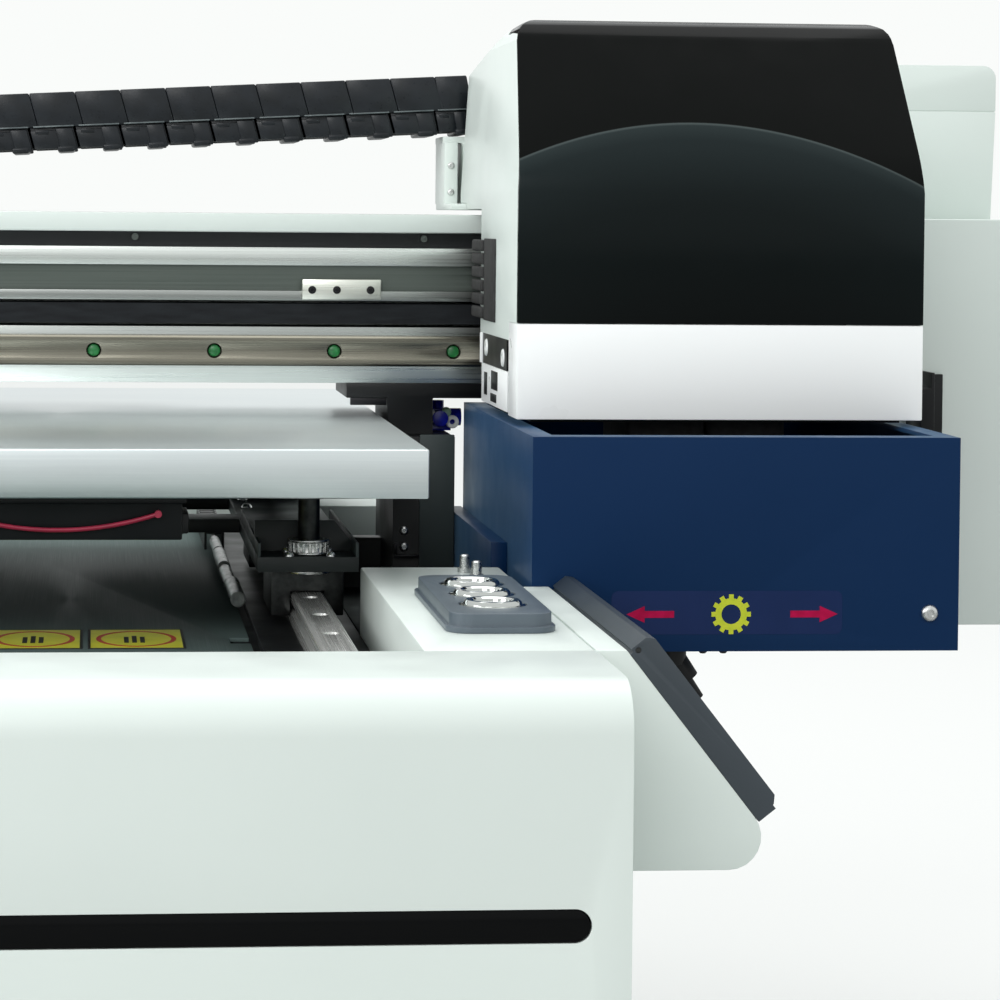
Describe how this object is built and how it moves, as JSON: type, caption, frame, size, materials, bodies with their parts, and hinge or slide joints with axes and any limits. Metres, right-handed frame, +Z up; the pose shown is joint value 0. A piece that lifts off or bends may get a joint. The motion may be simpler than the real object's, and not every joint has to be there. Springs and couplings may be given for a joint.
{
  "type": "flatbed uv printer",
  "caption": "Desktop flatbed UV printer: moving vacuum table in a white base, gantry beam with hooded print carriage, drag chain, capping station and side ink pod.",
  "frame": {"origin": "centre of the footprint's bounding box, on the floor under the levelling feet", "axes": "+X to the machine's right along the beam, +Y from the operator to the back, +Z up"},
  "size_m": [1.04, 0.88, 0.548],
  "materials": {
    "white_paint": "glossy powder coat, off-white",
    "black_gloss": "high gloss black",
    "black_paint": "satin black",
    "dark_paint": "dark grey powder coat",
    "navy_paint": "satin navy powder coat",
    "aluminium": "brushed, clear anodised",
    "rail_steel": "ground",
    "stainless": "brushed",
    "bright_steel": "turned",
    "rubber": "matt",
    "black_plastic": "satin black moulding",
    "slate_plastic": "slate grey, fine grain",
    "bezel_plastic": "blue-grey, satin",
    "chrome": "polished",
    "natural_plastic": "natural",
    "red_insulation": "smooth",
    "blue_plastic": "glossy"
  },
  "bodies": {
    "frame": {"levelling_feet": "rubber", "chassis": "dark_paint", "front_shell": "white_paint", "front_strip": "black_gloss", "side_covers": "white_paint", "rear_panel": "white_paint", "deck_right": "white_paint", "deck_left": "white_paint", "trough_plate": "stainless", "y_rails": "rail_steel", "side_pod": "white_paint", "ink_bottles": "natural_plastic", "gantry_columns": "black_paint", "beam": "aluminium", "beam_plate": "aluminium", "x_rail": "rail_steel", "x_belt": "rubber", "motors": "black_paint", "end_housing_right": "white_paint", "upper_housing_right": "white_paint", "end_housing_left": "white_paint", "chain_tray": "dark_paint", "chain_lower": "black_plastic", "station_box": "navy_paint", "home_sensor": "black_plastic", "button_bezel": "bezel_plastic", "drain_spout": "black_plastic", "air_fittings": "blue_plastic", "power_inlet": "black_plastic"},
    "carriage": {"carriage_plate": "aluminium", "x_blocks": "bright_steel", "carriage_band": "white_paint", "carriage_shell": "white_paint", "carriage_cover": "black_gloss", "head_plate": "black_paint", "print_heads": "bright_steel", "uv_lamp": "black_paint", "chain_bracket": "white_paint", "chain_upper": "black_plastic"},
    "chain_bend": {"chain_bend": "black_plastic"},
    "drive_pulley": {"drive_pulley": "aluminium"},
    "idler_pulley": {"idler_pulley": "aluminium"},
    "y_carriage": {"y_carriage": "black_paint", "y_blocks": "bright_steel"},
    "y_screw": {"y_screw": "bright_steel"},
    "table": {"table_top": "aluminium", "fan_box": "black_plastic", "fan_lead": "red_insulation", "lift_screws": "bright_steel"},
    "lift_nut_1": {"lift_nut_1": "bright_steel"},
    "lift_nut_2": {"lift_nut_2": "bright_steel"},
    "lift_nut_3": {"lift_nut_3": "bright_steel"},
    "lift_nut_4": {"lift_nut_4": "bright_steel"},
    "caps": {"cap_tray": "black_plastic"},
    "cap_adjuster": {"cap_adjuster": "bright_steel"},
    "pod_lid": {"pod_lid": "slate_plastic"},
    "button_1": {"button_1": "chrome"},
    "button_2": {"button_2": "chrome"},
    "button_3": {"button_3": "chrome"},
    "power_rocker": {"power_rocker": "black_plastic"}
  },
  "joints": [
    {"name": "carriage_x", "type": "slide", "parent": "frame", "child": "carriage", "axis": [1, 0, 0], "range_m": [-0.46, 0], "deforming": ["chain_upper"]},
    {"name": "chain_bend_x", "type": "slide", "parent": "frame", "child": "chain_bend", "axis": [1, 0, 0], "range_m": [-0.23, 0]},
    {"name": "drive_pulley_spin", "type": "hinge", "parent": "frame", "child": "drive_pulley", "pos_m": [-0.372, 0.0735, 0.4055], "axis": [0, 0, 1], "continuous": true},
    {"name": "idler_pulley_spin", "type": "hinge", "parent": "frame", "child": "idler_pulley", "pos_m": [0.383, 0.0735, 0.4055], "axis": [0, 0, 1], "continuous": true},
    {"name": "table_y", "type": "slide", "parent": "frame", "child": "y_carriage", "axis": [0, 1, 0], "range_m": [-0.255, 0.13]},
    {"name": "y_screw_spin", "type": "hinge", "parent": "frame", "child": "y_screw", "pos_m": [-0.06, 0, 0.232], "axis": [0, 1, 0], "continuous": true},
    {"name": "table_z", "type": "slide", "parent": "y_carriage", "child": "table", "axis": [0, 0, 1], "range_m": [-0.018, 0.004]},
    {"name": "lift_nut_1_spin", "type": "hinge", "parent": "y_carriage", "child": "lift_nut_1", "pos_m": [0.114, -0.084, 0.3], "axis": [0, 0, 1], "continuous": true},
    {"name": "lift_nut_2_spin", "type": "hinge", "parent": "y_carriage", "child": "lift_nut_2", "pos_m": [-0.114, -0.084, 0.3], "axis": [0, 0, 1], "continuous": true},
    {"name": "lift_nut_3_spin", "type": "hinge", "parent": "y_carriage", "child": "lift_nut_3", "pos_m": [0.114, 0.21, 0.3], "axis": [0, 0, 1], "continuous": true},
    {"name": "lift_nut_4_spin", "type": "hinge", "parent": "y_carriage", "child": "lift_nut_4", "pos_m": [-0.114, 0.21, 0.3], "axis": [0, 0, 1], "continuous": true},
    {"name": "cap_z", "type": "slide", "parent": "frame", "child": "caps", "axis": [0, 0, 1], "range_m": [-0.007, 0]},
    {"name": "cap_adjuster_turn", "type": "hinge", "parent": "frame", "child": "cap_adjuster", "pos_m": [0.293, -0.1, 0.283], "axis": [0, 1, 0], "continuous": true},
    {"name": "lid_hinge", "type": "hinge", "parent": "frame", "child": "pod_lid", "pos_m": [0.21675, -0.2635, 0.2949], "axis": [0, -1, 0], "range_deg": [0, 100]},
    {"name": "button_1_press", "type": "slide", "parent": "frame", "child": "button_1", "axis": [0, 0, -1], "range_m": [0, 0.0025], "stiffness_N_per_m": 900, "springref_m": -0.002},
    {"name": "button_2_press", "type": "slide", "parent": "frame", "child": "button_2", "axis": [0, 0, -1], "range_m": [0, 0.0025], "stiffness_N_per_m": 900, "springref_m": -0.002},
    {"name": "button_3_press", "type": "slide", "parent": "frame", "child": "button_3", "axis": [0, 0, -1], "range_m": [0, 0.0025], "stiffness_N_per_m": 900, "springref_m": -0.002},
    {"name": "rocker_tilt", "type": "hinge", "parent": "frame", "child": "power_rocker", "pos_m": [-0.146, 0.434, 0.1055], "axis": [1, 0, 0], "range_deg": [0, 12]}
  ],
  "couplings": [
    {"joint": "chain_bend_x", "follows": "carriage_x", "ratio": 0.5},
    {"joint": "drive_pulley_spin", "follows": "carriage_x", "rad_per_m": 100},
    {"joint": "idler_pulley_spin", "follows": "carriage_x", "rad_per_m": 100},
    {"joint": "y_screw_spin", "follows": "table_y", "rad_per_m": -628.32},
    {"joint": "cap_adjuster_turn", "follows": "cap_z", "rad_per_m": 3141.6},
    {"joint": "lift_nut_1_spin", "follows": "table_z", "rad_per_m": -1570.8},
    {"joint": "lift_nut_2_spin", "follows": "table_z", "rad_per_m": -1570.8},
    {"joint": "lift_nut_3_spin", "follows": "table_z", "rad_per_m": -1570.8},
    {"joint": "lift_nut_4_spin", "follows": "table_z", "rad_per_m": -1570.8}
  ]
}
